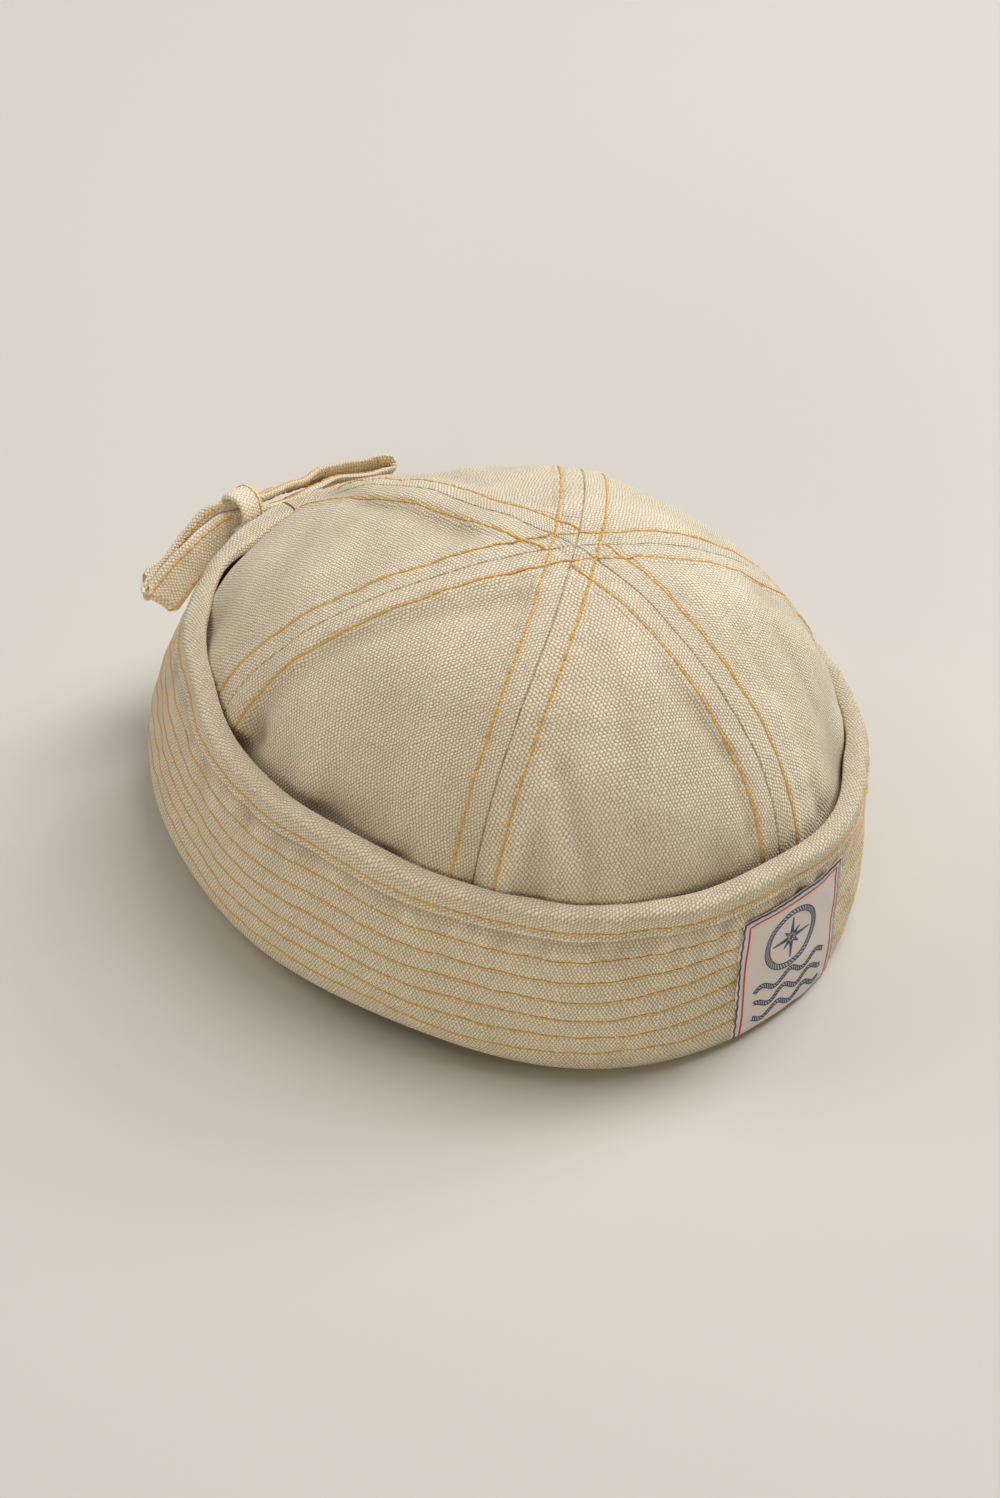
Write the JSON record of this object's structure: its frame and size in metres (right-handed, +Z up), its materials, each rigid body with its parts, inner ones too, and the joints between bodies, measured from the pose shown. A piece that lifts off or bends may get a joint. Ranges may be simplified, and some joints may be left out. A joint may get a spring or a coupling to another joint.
{
  "type": "sailor cap",
  "caption": "Soft brimless canvas sailor cap: a six-gore dome crown inside a turned-up, row-stitched cuff with a front patch and a bow tie at the back.",
  "frame": {"origin": "on the surface that the cap rests on, under the middle of its overall length and width", "axes": "+Z up through the crown, -Y towards the patch on the front, +Y towards the bow at the back, +X to the right of the picture's front view"},
  "size_m": [0.1786, 0.2298, 0.1192],
  "materials": {
    "canvas": "heavy plain-weave cotton canvas, undyed ecru",
    "tie_canvas": "doubled strip of the same canvas, edge stitched",
    "label_cloth": "fine woven patch, off-white with coloured threads"
  },
  "bodies": {
    "root": {"crown_panel_1": "canvas", "crown_panel_2": "canvas", "crown_panel_3": "canvas", "crown_panel_4": "canvas", "crown_panel_5": "canvas", "crown_panel_6": "canvas", "cuff": "canvas", "front_label": "label_cloth", "tie_knot": "tie_canvas", "tie_left_loop": "tie_canvas", "tie_left_tail": "tie_canvas", "tie_right_loop": "tie_canvas", "tie_right_tail": "tie_canvas"}
  },
  "joints": []
}
